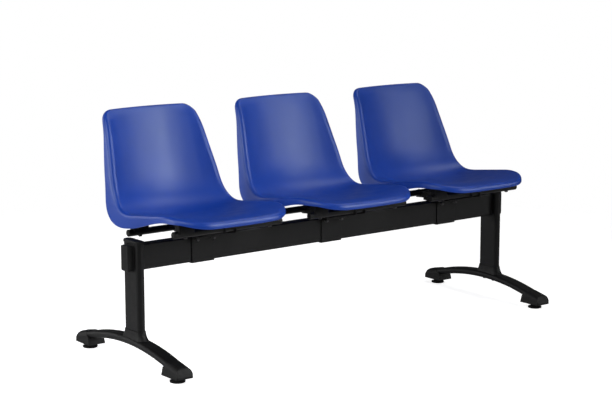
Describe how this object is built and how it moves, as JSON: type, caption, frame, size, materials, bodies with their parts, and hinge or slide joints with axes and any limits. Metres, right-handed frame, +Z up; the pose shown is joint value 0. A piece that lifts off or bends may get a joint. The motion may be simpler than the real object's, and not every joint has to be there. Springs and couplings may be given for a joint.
{
  "type": "waiting bench",
  "caption": "Waiting bench: moulded bucket seat shells with rolled rims on cross bars, clamped along a steel beam that stands on oval columns and arched feet with levelling glides.",
  "frame": {"origin": "on the floor, under the middle of the bench: midway between the columns along X and midway between the front and rear shoes along Y", "axes": "+X along the beam to the sitter's left, which is the right-hand side seen from the front; +Y from the front of the seats to the backs; +Z up"},
  "size_m": [1.586, 0.592, 0.7627],
  "materials": {
    "shell": "satin-gloss moulded, royal blue",
    "frame": "satin black powder coat",
    "trim": "matt black moulding",
    "glide": "matt black pad",
    "fastener": "black zinc plated"
  },
  "bodies": {
    "bench": {"bar_plugs_centre": "trim", "bar_plugs_left": "trim", "bar_plugs_right": "trim", "beam_end_cap_left": "trim", "beam_end_cap_right": "trim", "beam_tube": "frame", "bracket_bolts_centre": "fastener", "bracket_bolts_left": "fastener", "bracket_bolts_right": "fastener", "bracket_strap_centre": "frame", "bracket_strap_left": "frame", "bracket_strap_right": "frame", "column_bolts_left": "fastener", "column_bolts_right": "fastener", "column_cap_left": "trim", "column_cap_right": "trim", "column_left": "frame", "column_right": "frame", "column_socket_left": "frame", "column_socket_right": "frame", "foot_arm_left": "frame", "foot_arm_right": "frame", "foot_shoe_left_front": "trim", "foot_shoe_left_rear": "trim", "foot_shoe_right_front": "trim", "foot_shoe_right_rear": "trim", "front_bar_centre": "frame", "front_bar_left": "frame", "front_bar_right": "frame", "glide_nuts": "fastener", "rear_bar_centre": "frame", "rear_bar_left": "frame", "rear_bar_right": "frame", "seat_bracket_centre": "frame", "seat_bracket_left": "frame", "seat_bracket_right": "frame", "seat_shell_centre": "shell", "seat_shell_left": "shell", "seat_shell_right": "shell", "shell_screws_centre": "fastener", "shell_screws_left": "fastener", "shell_screws_right": "fastener", "shell_spacers_centre": "trim", "shell_spacers_left": "trim", "shell_spacers_right": "trim"},
    "leveller_left_front": {"glide_left_front": "glide"},
    "leveller_left_rear": {"glide_left_rear": "glide"},
    "leveller_right_front": {"glide_right_front": "glide"},
    "leveller_right_rear": {"glide_right_rear": "glide"}
  },
  "joints": [
    {"name": "level_left_front", "type": "slide", "parent": "bench", "child": "leveller_left_front", "axis": [0, 0, 1], "range_m": [-0.012, 0.003]},
    {"name": "level_left_rear", "type": "slide", "parent": "bench", "child": "leveller_left_rear", "axis": [0, 0, 1], "range_m": [-0.012, 0.003]},
    {"name": "level_right_front", "type": "slide", "parent": "bench", "child": "leveller_right_front", "axis": [0, 0, 1], "range_m": [-0.012, 0.003]},
    {"name": "level_right_rear", "type": "slide", "parent": "bench", "child": "leveller_right_rear", "axis": [0, 0, 1], "range_m": [-0.012, 0.003]}
  ]
}
